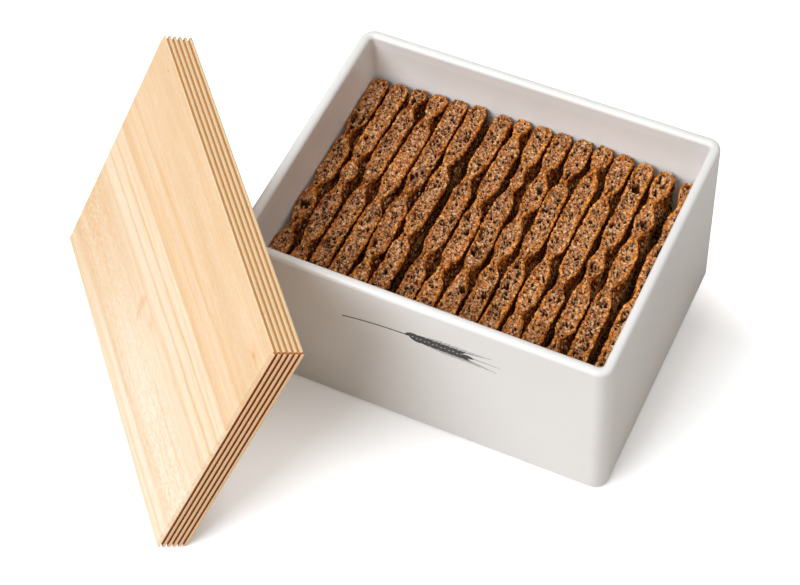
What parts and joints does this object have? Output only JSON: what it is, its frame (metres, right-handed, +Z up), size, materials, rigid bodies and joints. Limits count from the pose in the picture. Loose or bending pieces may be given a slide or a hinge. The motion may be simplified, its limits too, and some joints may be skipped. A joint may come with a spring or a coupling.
{
  "type": "crispbread box",
  "caption": "Rectangular white glazed ceramic box for crispbread, filled with upright slices, with a ridged wooden lid leaning on its rim.",
  "frame": {"origin": "middle of the box's underside", "axes": "+Z up, the front wall faces -Y, the lid leans on the front left corner of the rim (-X, -Y)"},
  "size_m": [0.2967, 0.2475, 0.1306],
  "materials": {
    "white_glaze": "satin white glaze",
    "lid_wood": "oiled pale wood, grain along the long side",
    "crispbread": "dry porous rye crumb with a browned crust"
  },
  "bodies": {
    "box": {"box": "white_glaze"},
    "lid": {"lid_board": "lid_wood", "lid_plug": "lid_wood"},
    "slice_01": {"slice_01": "crispbread"},
    "slice_02": {"slice_02": "crispbread"},
    "slice_03": {"slice_03": "crispbread"},
    "slice_04": {"slice_04": "crispbread"},
    "slice_05": {"slice_05": "crispbread"},
    "slice_06": {"slice_06": "crispbread"},
    "slice_07": {"slice_07": "crispbread"},
    "slice_08": {"slice_08": "crispbread"},
    "slice_09": {"slice_09": "crispbread"},
    "slice_10": {"slice_10": "crispbread"},
    "slice_11": {"slice_11": "crispbread"},
    "slice_12": {"slice_12": "crispbread"},
    "slice_13": {"slice_13": "crispbread"},
    "slice_14": {"slice_14": "crispbread"},
    "slice_15": {"slice_15": "crispbread"},
    "slice_16": {"slice_16": "crispbread"}
  },
  "joints": [
    {"name": "lid_lift", "type": "slide", "parent": "box", "child": "lid", "axis": [0, 0, 1], "range_m": [0, 0.12]},
    {"name": "slice_01_lift", "type": "slide", "parent": "box", "child": "slice_01", "axis": [0, 0, 1], "range_m": [0, 0.035]},
    {"name": "slice_02_lift", "type": "slide", "parent": "box", "child": "slice_02", "axis": [0, 0, 1], "range_m": [0, 0.1]},
    {"name": "slice_03_lift", "type": "slide", "parent": "box", "child": "slice_03", "axis": [0, 0, 1], "range_m": [0, 0.1]},
    {"name": "slice_04_lift", "type": "slide", "parent": "box", "child": "slice_04", "axis": [0, 0, 1], "range_m": [0, 0.1]},
    {"name": "slice_05_lift", "type": "slide", "parent": "box", "child": "slice_05", "axis": [0, 0, 1], "range_m": [0, 0.1]},
    {"name": "slice_06_lift", "type": "slide", "parent": "box", "child": "slice_06", "axis": [0, 0, 1], "range_m": [0, 0.1]},
    {"name": "slice_07_lift", "type": "slide", "parent": "box", "child": "slice_07", "axis": [0, 0, 1], "range_m": [0, 0.1]},
    {"name": "slice_08_lift", "type": "slide", "parent": "box", "child": "slice_08", "axis": [0, 0, 1], "range_m": [0, 0.1]},
    {"name": "slice_09_lift", "type": "slide", "parent": "box", "child": "slice_09", "axis": [0, 0, 1], "range_m": [0, 0.1]},
    {"name": "slice_10_lift", "type": "slide", "parent": "box", "child": "slice_10", "axis": [0, 0, 1], "range_m": [0, 0.1]},
    {"name": "slice_11_lift", "type": "slide", "parent": "box", "child": "slice_11", "axis": [0, 0, 1], "range_m": [0, 0.1]},
    {"name": "slice_12_lift", "type": "slide", "parent": "box", "child": "slice_12", "axis": [0, 0, 1], "range_m": [0, 0.1]},
    {"name": "slice_13_lift", "type": "slide", "parent": "box", "child": "slice_13", "axis": [0, 0, 1], "range_m": [0, 0.1]},
    {"name": "slice_14_lift", "type": "slide", "parent": "box", "child": "slice_14", "axis": [0, 0, 1], "range_m": [0, 0.1]},
    {"name": "slice_15_lift", "type": "slide", "parent": "box", "child": "slice_15", "axis": [0, 0, 1], "range_m": [0, 0.1]},
    {"name": "slice_16_lift", "type": "slide", "parent": "box", "child": "slice_16", "axis": [0, 0, 1], "range_m": [0, 0.1]}
  ]
}
